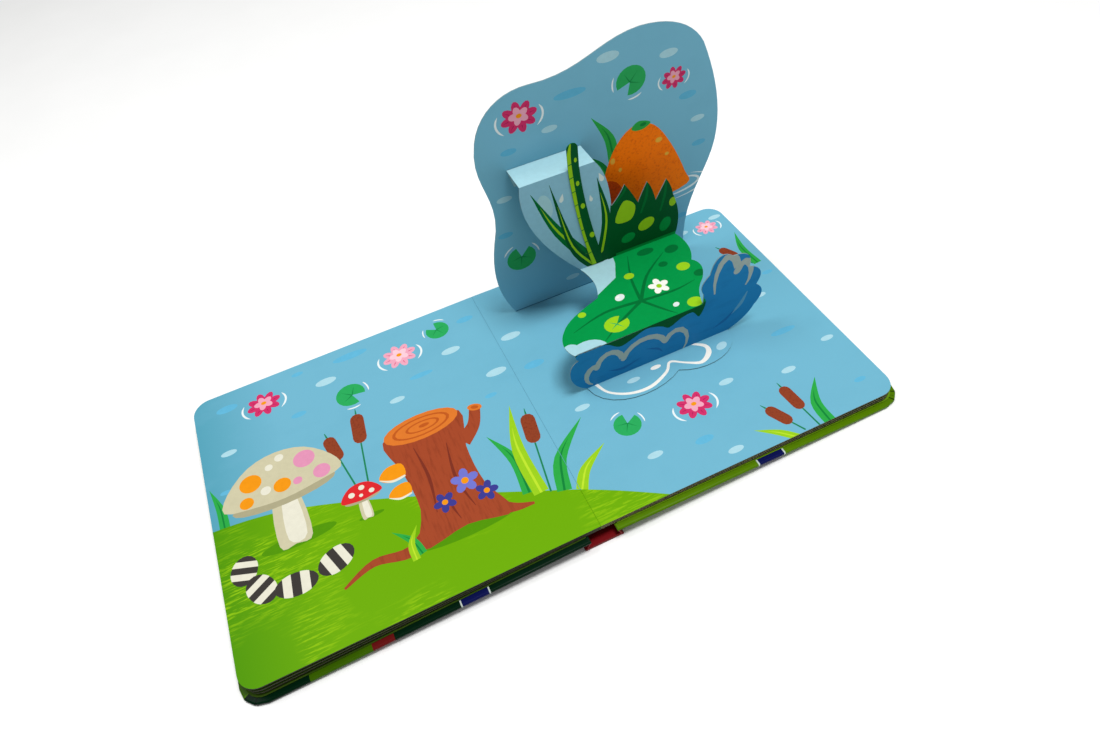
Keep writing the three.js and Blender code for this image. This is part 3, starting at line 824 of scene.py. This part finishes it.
def small_pad(x, y, size, opening):
    """A young round leaf with a notch and three veins."""
    turns = [math.radians(opening + 22 + 316 * i / 16) for i in range(17)]
    shapes = [("lime", [(x, y)] + [(x + size * math.cos(a), y + 0.8 * size * math.sin(a)) for a in turns])]
    for spread in (95, 180, 265):
        a = math.radians(opening + spread)
        shapes.append(("pad", ribbon([(x, y), (x + 0.7 * size * math.cos(a), y + 0.56 * size * math.sin(a))], [0.9, 0.1])))
    return shapes


# The reed bed runs from the riser down on to the lower shelf, and the big leaf from the
# lower shelf down over the fold of the front riser.
crossing = (
    [("bed_dark", flat([(84, 34), (86, 60), (87, 76), (97, 92), (107, 88), (113, 92), (120, 86), (127, 90), (138, 70),
                        (140, 34)], on_riser)),
     ("bed", flat([(88, 54), (86, 46), (80, 34), (60, 24), (34, 16), (24, 4), (22, -12.8), (22, -13.4), (124, -13.4),
                   (124, -12.8), (126, 2), (140, 20), (146, 40), (142, 54)], on_leaf))])
riser_picture = (
    [("mist", [(0, riser_fold), (200, riser_fold), (200, tab_fold), (0, tab_fold)])] + crossing
    + [("spray", flat(oval(45, 92, 4.5, 9, 10), on_riser)), drop(*on_riser(82, 98), 2.6, 20),
       drop(*on_riser(55.5, 93), 2.3, -15), drop(*on_riser(74.5, 86), 1.9, 10)]
    + [(tone, flat(shape, on_riser)) for tone, shape in
       banded_blade((76, 34), (52, 70), (37, 104), 8, "bed_shade") + banded_blade((78, 34), (84, 66), (79, 100), 8)
       + banded_blade((74, 34), (60, 56), (49, 106), 7, "bed_dark")
       + [("bed_dark", [(74, 34), (90, 34), (89, 52), (84.5, 47), (78, 40)]),
          ("lime", smooth([(90, 62), (96, 76), (104, 70), (101, 60)])),
          ("bed_shade", ribbon([(90, 76), (97, 84), (98, 90)], [1.0, 1.6, 0.4])),
          ("bed_shade", ribbon([(108, 62), (112, 74), (112.5, 86)], [1.2, 2.0, 0.4])),
          ("bed_shade", ribbon([(122, 58), (125, 70), (126, 82)], [1.2, 2.0, 0.4])),
          ("lime", oval(112, 52, 6, 4.5, 20)), ("bed", oval(126, 46, 4, 5.5, -20)), ("bed", oval(99, 46, 5, 3.6, 10)),
          ("lime", oval(131, 62, 2.6, 3.4))]])
leaf_picture = (
    crossing
    + [(tone, flat(shape, on_leaf)) for tone, shape in
       [("bed_shade", ribbon([(84, 8), (60, 10), (36, 4)], [2.4, 1.8, 0.3])),
        ("bed_shade", ribbon([(84, 8), (64, -2), (48, -12)], [2.2, 1.6, 0.3])),
        ("bed_shade", ribbon([(84, 8), (92, -4), (98, -12)], [2.2, 1.6, 0.3])),
        ("bed_shade", ribbon([(84, 8), (106, 6), (122, 8)], [2.2, 1.6, 0.3])),
        ("bed_shade", ribbon([(84, 8), (98, 26), (118, 40)], [2.4, 1.8, 0.3])),
        ("bed_shade", ribbon([(84, 8), (88, 28), (96, 48)], [2.2, 1.6, 0.3])),
        ("bed_shade", oval(124, 40, 5, 3.5, 10)), ("bed_shade", oval(108, 46, 6, 3, 0)),
        ("lime", oval(122, 22, 4.5, 3.6)), ("lime", oval(112, -8.5, 5, 4)), ("bed_shade", oval(128, 12, 4, 3)),
        ("spray", oval(38, -14, 12, 9)), ("spray", oval(29, -10, 6, 7))]
       + small_pad(62, -2, 8, 35)
       + [("lime", oval(88, 31, 3.4, 2.6)), ("lime", oval(47, 15, 2.6, 2.2)), ("drop", oval(74, 17, 3.4, 2.6, 20)),
          ("bloom", oval(73, 17.8, 1.1, 0.7, 20)), ("drop", oval(101, -5, 2.2, 1.7, 20)),
          ("bed_shade", oval(112, 30, 3.2, 2.4))]
       + flower(100, 14, 6.5, "bloom", "lime", 15)])
wave_picture = (
    crossing
    + [(tone, flat(shape, on_wave)) for tone, shape in
       [("bed_dark", [(22, 36), (22, 24), (60, 20), (110, 18), (124, 20), (124, 36)]),
        ("wave", smooth([(24, -2), (20, 12), (24, 24), (30, 34), (40, 36), (50, 33), (58, 27), (66, 29), (76, 33),
                         (86, 30), (92, 26), (100, 30), (108, 31), (113, 25), (117, 36), (112, 44), (110, 58),
                         (118, 72), (136, 76), (152, 64), (156, 40), (164, 24), (156, 8), (140, -2)]))]
       + scallops([(41, 10, 6, 8, 250, 75), (51, 13, 9, 12, 165, 15), (75, 11, 15, 14, 165, 18),
                   (97, 9, 8.5, 12, 150, -50)], 4.0)
       + scallops([(130, 47, 8, 19, 205, 25), (142, 46, 5.5, 11, 150, -60)], 5.2)
       + [("wave_light", ribbon([(136, 14), (143, 21), (147, 30)], [0.4, 3, 0.8])),
        ("wave_dark", ribbon([(124, 8), (133, 12), (139, 18)], [0.4, 2.6, 0.4])),
        ("wave_dark", ribbon([(50, 9), (60, 6), (72, 9)], [0.3, 2.4, 0.3])),
        ("wave_dark", ribbon([(76, 15), (84, 11), (88, 6)], [0.3, 1.8, 0.3]))]])
foot_picture = [(tone, flat(shape, on_wave)) for tone, shape in
                [("water", [(0, -30), (200, -30), (200, 4), (0, 4)]),
                 ("bloom", ribbon([(41, 1.5), (45, -8), (56, -15), (70, -16.5), (84, -11), (90, -5), (98, -10),
                                   (107, -14.5), (115, -10), (116, -4), (109, 1.5)],
                                  [2.2, 1.6, 1.8, 2.2, 1.8, 1.6, 1.4, 2.4, 3.4, 2.6, 1.4])),
                 ("pale", oval(63, -7, 4.5, 1.8)), ("bloom", oval(80, -4.5, 3.6, 1.5)),
                 ("pale", oval(125, -9, 4.2, 2.6, 20))]]


def along_strip(face):
    """Facet mapping: from flat places along the strip to where that face stands."""
    return {
        "foot": lambda x, s: (x, wave_face + s, foot_top),
        "wave": lambda x, s: (x, wave_face, foot_top + s),
        "leaf": lambda x, s: (x, wave_face + s - wave_fold, STRIP["lower"]),
        "riser": lambda x, s: (x, riser_face, STRIP["lower"] + s - riser_fold),
        "shelf": lambda x, s: (x, riser_face + s - shelf_fold, STRIP["upper"]),
        "tab": lambda x, s: (x, strip_back, STRIP["upper"] - (s - tab_fold)),
    }[face]


steps = printed_sheet(
    "popup_steps_card",
    [([(x, y - wave_face) for x, y in foot_outline], foot_picture, along_strip("foot")),
     (flat(wave_outline, on_wave), wave_picture, along_strip("wave")),
     (flat(leaf_outline, on_leaf), leaf_picture, along_strip("leaf")),
     (flat(riser_outline, on_riser), riser_picture, along_strip("riser")),
     (flat(shelf_outline, on_shelf), [], along_strip("shelf")),
     (tab_outline, [], along_strip("tab"))],
    INKS, "spray", "spray", [("cut", 1)], CARD, half_book(1))
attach(steps, BODY[1])
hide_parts("popup_steps")


# The reed: a blade die-cut from thinner printed card and glued on the riser's face. Its round
# head stands up past the top fold, and the shelf behind it has no hole.

REED = {"card": 0.4, "clearance": 0.8, "foot": (72.5, 81), "head": (61, 68), "reach": 17, "lean": 2}
reed_foot = STRIP["lower"] + REED["clearance"]
reed_bend = reed_foot + 0.55 * (STRIP["upper"] - reed_foot)
reed_radius = (REED["head"][1] - REED["head"][0]) / 2
reed_outline = outline((REED["foot"][0], reed_foot), [
    [(REED["foot"][1], reed_foot)],
    [(REED["head"][1] + REED["lean"], reed_bend), (REED["head"][1], STRIP["upper"])]] + [
    [(REED["head"][1] - reed_radius + reed_radius * math.cos(math.pi * i / 10),
      STRIP["upper"] + REED["reach"] - reed_radius * (1 - math.sin(math.pi * i / 10)))] for i in range(11)] + [
    [(REED["head"][0], STRIP["upper"])],
    [(REED["head"][0] + REED["lean"], reed_bend), (REED["foot"][0], reed_foot)]])
rib_path = [(74, 34), (68.5, 56), (65.2, 76), (63.2, 96), (62.2, 112), (62.2, 121), (63.6, 128)]
reed_picture = [("lime", ribbon(rib_path, [3.4, 3.2, 3.0, 2.8, 2.6, 2.4, 0.8]))] + [
    ("bed_shade", ribbon([(x - 2, z - 0.5), (x + 1.7, z + 0.3)], [0.6, 0.6], 1))
    for x, z in ((70.9, 46), (68.6, 56), (66.8, 66), (65.2, 76), (64.1, 86), (63.2, 96), (62.6, 106), (62.2, 115))] + [
    ("lime", oval(73.5, 60, 1.7, 2.2, 15)), ("lime", oval(68.6, 84, 1.4, 2.0, 10)),
    ("lime", oval(66.3, 101, 1.1, 1.7)), ("lime", oval(66, 117, 0.9, 1.5))]
reed = printed_sheet(
    "popup_reed_card", [(reed_outline, reed_picture, lambda x, z: (x, riser_face - GLUE_GAP - REED["card"], z))],
    INKS, "bed_dark", "bed_dark", [("bed_shade", 1)], REED["card"], half_book(1))
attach(reed, BODY[1])
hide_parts("popup_reed")


# The covers: grey board inside a printed paper wrap, gloss laminated. The wrap is turned in
# over three edges of each board, where it rounds them, and it is pleated at the two round
# corners. The turned-in margin shows around the endpaper.

COVER_THICKNESS = 2.3
COVER_OVERHANG = 3.9
COVER_START = 8
COVER_CORNER = 13
COVER_FACETS = 3
COVER_TOP = 4.35
COVER_LENGTH = PAGE_WIDTH + COVER_OVERHANG - COVER_START
COVER_HALF = PAGE_HEIGHT / 2 + COVER_OVERHANG
PLEAT_DEPTH = 0.6
EDGE_PROFILE = [(0.95, 0), (0.45, -0.1), (0.12, -0.4), (0, -0.85), (0, -1.5), (0.15, -1.95), (0.5, -2.22), (1.0, -2.3)]


def laminate(name, colour):
    """Wrap paper under gloss film, glued over board: a clear sharp gloss with the board's
    slight waviness, and one even ink below it."""
    material, tree = new_material("gloss_laminate_" + name)
    where = node(tree, "TexCoord").outputs["Object"]
    cloud = node(tree, "TexNoise", {"Scale": 1 / (9 * MM), "Detail": 3.0}, {"Vector": where})
    base = linear(colour)
    tone = node(tree, "Mix", {"data_type": "RGBA", 6: base, 7: tuple(0.82 * c for c in base[:3]) + (1.0,)},
                {0: cloud.outputs["Fac"]})
    wave = node(tree, "TexNoise", {"Scale": 1 / (2.2 * MM), "Detail": 3.0}, {"Vector": where})
    bump = node(tree, "Bump", {"Strength": 0.25, "Distance": 0.12 * MM}, {"Height": wave.outputs["Fac"]})
    surface = node(tree, "BsdfPrincipled",
                   {"Roughness": 0.32, "IOR": 1.5, "Specular IOR Level": 0.05},
                   {"Base Color": tone.outputs[2], "Normal": bump.outputs[0]})
    node(tree, "OutputMaterial", None, {"Surface": surface.outputs[0]})
    return material


WRAP = {
    "bottle": laminate("bottle_green", "#00200E"),
    "olive": laminate("olive_green", "#3C6400"),
    "lime": laminate("lime_green", "#547E00"),
    "navy": laminate("navy", "#0A1250"),
    "tick": laminate("white_line", "#C9D6CE"),
    "maroon": laminate("maroon", "#6A1414"),
    "crimson": laminate("crimson", "#7A1016"),
    # The two pleat colours are darker copies of the wrap: painted shade in the pleats.
    "bottle_fold": laminate("bottle_green_fold", "#00140A"),
    "lime_fold": laminate("lime_green_fold", "#1E3400"),
}

# Fields of the wrap along each foot edge, by where each ends, from the gutter outwards.
FOOT_FIELDS = {
    -1: [(67.0, "bottle"), (67.8, "tick"), (83.0, "navy"), (83.8, "tick"), (120.5, "bottle"), (132.5, "maroon"),
         (166.0, "olive"), (300.0, "bottle")],
    1: [(98.0, "lime"), (98.9, "tick"), (115.2, "navy"), (116.1, "tick"), (300.0, "lime")],
}
WRAP_GROUND = {-1: "bottle", 1: "lime"}
FORE_EDGE = {-1: "olive", 1: "lime"}


def board(side):
    """Where the cover lies: under its half of the book, sloping down to the table."""
    return half_book(side) @ Matrix.Translation((side * COVER_START * MM, 0, -COVER_TOP * MM)) @ Matrix.Rotation(
        side * (COVER_SLOPE - TILT[side]), 4, "Y")


def board_ring(side, inset):
    """The cover's outline at a distance inside its edge, with a field of the wrap for each
    stretch. Pleats cut into the round corners near the edge."""
    groove = PLEAT_DEPTH if inset < 0.9 else 0.15
    ring = [(inset, -COVER_HALF + inset, None)]
    for end, _ in FOOT_FIELDS[side][:-1]:
        ring.append((end - COVER_START, -COVER_HALF + inset, None))
    for end in (-1, 1):
        turns = []
        for facet in range(COVER_FACETS + 1):
            middle = facet / COVER_FACETS * math.pi / 2
            turns += [(middle - 0.035, 0), (middle, groove), (middle + 0.035, 0)] if 0 < facet < COVER_FACETS else [
                (middle, 0)]
        for turn, cut in turns:
            along, across = (math.sin(turn), math.cos(turn)) if end < 0 else (math.cos(turn), math.sin(turn))
            reach = COVER_CORNER - inset - cut
            ring.append((COVER_LENGTH - COVER_CORNER + reach * along,
                         end * (COVER_HALF - COVER_CORNER + reach * across), None))
    ring.append((inset, COVER_HALF - inset, None))
    return [(side * u, y) for u, y, _ in ring]


def wrapped_board(side, name):
    made = bmesh.new()
    order = sorted(WRAP)
    rings = [[made.verts.new(Vector((u, y, z)) * MM) for u, y in board_ring(side, inset)]
             for inset, z in EDGE_PROFILE]
    count = len(rings[0])
    fields = [tone for _, tone in FOOT_FIELDS[side]]
    pleats = {len(fields) + corner + i for corner in (0, 3 * COVER_FACETS - 1) for i in (1, 2, 4, 5)}
    fore_edge = {len(fields) + 3 * COVER_FACETS - i for i in (3, 2)}
    for upper, lower in zip(rings, rings[1:]):
        for i in range(count):
            corners = [upper[i], lower[i], lower[(i + 1) % count], upper[(i + 1) % count]]
            wall = made.faces.new(corners if side > 0 else corners[::-1])
            # The walls of the pleat grooves take the darker pleat colour, painted shade in the pleats.
            tone = fields[i] if i < len(fields) else WRAP_GROUND[side] + ("_fold" if i in pleats else "")
            wall.material_index = order.index(FORE_EDGE[side] if i in fore_edge else tone)
            wall.smooth = True
    for ring, z, upward in ((rings[0], 0, True), (rings[-1], -COVER_THICKNESS, False)):
        plan = [(v.co.x / MM, v.co.y / MM) for v in ring]
        motifs, start = [], COVER_START
        for end, tone in FOOT_FIELDS[side]:
            if tone != WRAP_GROUND[side]:
                motifs.append((tone, [(side * (start - COVER_START), -COVER_HALF - 1),
                                      (side * (end - COVER_START), -COVER_HALF - 1),
                                      (side * (end - COVER_START), -COVER_HALF + 15),
                                      (side * (start - COVER_START), -COVER_HALF + 15)]))
            start = end
        straight = COVER_HALF - COVER_CORNER
        if FORE_EDGE[side] != WRAP_GROUND[side]:
            motifs.append((FORE_EDGE[side], [(side * (COVER_LENGTH + x), y) for x, y in (
                (-20, -straight), (-13, -straight), (-0.88, -straight - 7), (1, -straight - 7), (1, straight),
                (-20, straight))]))
            motifs.append(("lime", [(side * (COVER_LENGTH + x), y) for x, y in (
                (-13, -straight), (-0.4, -straight - 6.4), (-0.1, -straight - 5.8), (-13, 0.3 - straight))]))
        # Dark lines at the round corners: painted shade where the turned-in wrap is pleated.
        for end in (-1, 1):
            for turn, width in ((30, 1.0), (47, 0.3), (60, 1.0)):
                a = math.radians(turn)
                ray = [(COVER_LENGTH - COVER_CORNER + r * math.cos(a), end * (COVER_HALF - COVER_CORNER + r * math.sin(a)))
                       for r in (COVER_CORNER - 8, COVER_CORNER)]
                motifs.append((WRAP_GROUND[side] + "_fold", ribbon([(side * u, y) for u, y in ray], [0.2, width], 2)))
        points, triangles, tops = cut_print(plan, motifs)
        corners = [made.verts.new((p[0] * MM, p[1] * MM, z * MM)) for p in points]
        for triangle, top in zip(triangles, tops):
            face = made.faces.new([corners[i] for i in (triangle if upward else triangle[::-1])])
            face.material_index = order.index(top or WRAP_GROUND[side])
    bmesh.ops.remove_doubles(made, verts=made.verts, dist=0.005 * MM)
    bmesh.ops.delete(made, geom=[v for v in made.verts if not v.link_faces], context="VERTS")
    made.transform(board(side))
    mesh = bpy.data.meshes.new(name)
    made.to_mesh(mesh)
    made.free()
    return shown(name, mesh, [WRAP[key] for key in order])


for side, node_name in ((-1, "front_cover"), (1, "back_cover")):
    cover = wrapped_board(side, node_name + "_board")
    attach(cover, BODY[side])
    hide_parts(node_name)


# The endpapers: uncoated printed paper, pasted on the inside of each cover over the
# turned-in wrap. Only their edges show beside the leaves.

for node_name, colour in (("front_endpaper", "#3E5A16"), ("back_endpaper", "#6B9412")):
    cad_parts[node_name].data.materials[0] = ink(node_name, colour, None, (3, 3), 0.35, 0.75)


# The spine: a stiff strip of board in the same wrap, which lies on the table. From both of
# its long edges the bare wrap is folded sharply back, up to the lifted end of each cover,
# and these two joints flex as the book is opened and closed.

SPINE_HALF = 11.4
SPINE_THICKNESS = 2.2
JOINT_THICKNESS = 0.9
JOINT_TIP = 0.4
SPINE_END = COVER_HALF - 0.45


def prism(name, section, material, rounding, stations=1):
    """A bar along the spine with this section, and its edges rounded."""
    made = bmesh.new()
    rings = []
    for step in range(stations + 1):
        y = SPINE_END * (2 * step / stations - 1)
        rings.append([made.verts.new(Vector((x, y, z)) * MM) for x, z in section])
    count = len(section)
    for near, far in zip(rings, rings[1:]):
        for i in range(count):
            made.faces.new([near[i], near[(i + 1) % count], far[(i + 1) % count], far[i]])
    made.faces.new(rings[0][::-1])
    made.faces.new(rings[-1])
    bmesh.ops.recalc_face_normals(made, faces=made.faces)
    sharp = [e for e in made.edges if e.calc_face_angle(0) > math.radians(30)]
    bmesh.ops.bevel(made, geom=sharp, offset=rounding * MM, segments=2, profile=0.5, affect="EDGES")
    mesh = bpy.data.meshes.new(name)
    made.to_mesh(mesh)
    made.free()
    return shown(name, mesh, [material])


strip_half = SPINE_HALF - JOINT_THICKNESS
strip = prism("spine_strip_board", [(-SPINE_HALF + 0.05, 0), (SPINE_HALF - 0.05, 0), (SPINE_HALF - 0.25, 0.5),
                                    (strip_half, SPINE_THICKNESS), (-strip_half, SPINE_THICKNESS),
                                    (-SPINE_HALF + 0.25, 0.5)], WRAP["crimson"], 0.22)
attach(strip, "spine_strip")
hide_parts("spine")

for side, name in ((-1, "front_wrap_joint"), (1, "back_wrap_joint")):
    corner = board(side) @ Vector((0, 0, -COVER_THICKNESS * MM)) / MM
    reach = abs(corner.x) + 0.45
    height = corner.z - 0.3 - JOINT_THICKNESS * math.tan(COVER_SLOPE)
    foot_x, foot_z = SPINE_HALF + JOINT_TIP, JOINT_TIP
    outer = [(foot_x + (reach + JOINT_THICKNESS - foot_x) * i / 5 - 0.25 * math.sin(math.pi * i / 5),
              foot_z + (height - foot_z) * i / 5) for i in range(6)]
    inner = [(x - JOINT_THICKNESS * (1 if i else 0.6), z + (0 if i else 0.3)) for i, (x, z) in enumerate(outer)]
    section = [(side * x, z) for x, z in [(SPINE_HALF, 0.02)] + outer + inner[::-1]]
    joint = prism(name, section, WRAP["crimson"], 0.12)
    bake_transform(joint)


# The gutter crease: the printed sheets are folded here, and the fold stands flush between
# the two halves of the leaves. It is coloured a little darker than the water and the hill
# that it crosses, as painted shade in the fold.

crease_section = [(-0.14, -0.08), (-0.07, -0.02), (0.07, -0.02), (0.14, -0.08), (0.14, -3.4), (-0.14, -3.4)]
crease_mesh = bmesh.new()
rings = [[crease_mesh.verts.new(Vector((x, y, GUTTER_HEIGHT + z)) * MM) for x, z in crease_section]
         for y in (-PAGE_HEIGHT / 2 + 0.1, -PAGE_HEIGHT / 2 + 25.5, PAGE_HEIGHT / 2 - 0.1)]
for field, (near, far) in enumerate(zip(rings, rings[1:])):
    for i in range(6):
        crease_mesh.faces.new([near[i], near[(i + 1) % 6], far[(i + 1) % 6], far[i]]).material_index = field
crease_mesh.faces.new(rings[0][::-1])
crease_mesh.faces.new(rings[-1]).material_index = 1
bmesh.ops.recalc_face_normals(crease_mesh, faces=crease_mesh.faces)
mesh = bpy.data.meshes.new("gutter_crease")
crease_mesh.to_mesh(mesh)
crease_mesh.free()
# Both crease inks are painted shade: darker copies of the hill and the water.
crease = shown("gutter_crease", mesh, [ink("crease_shade_hill", "#5C9400"), ink("crease_shade_water", "#5F9AB0")])
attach(crease, "spine_strip")
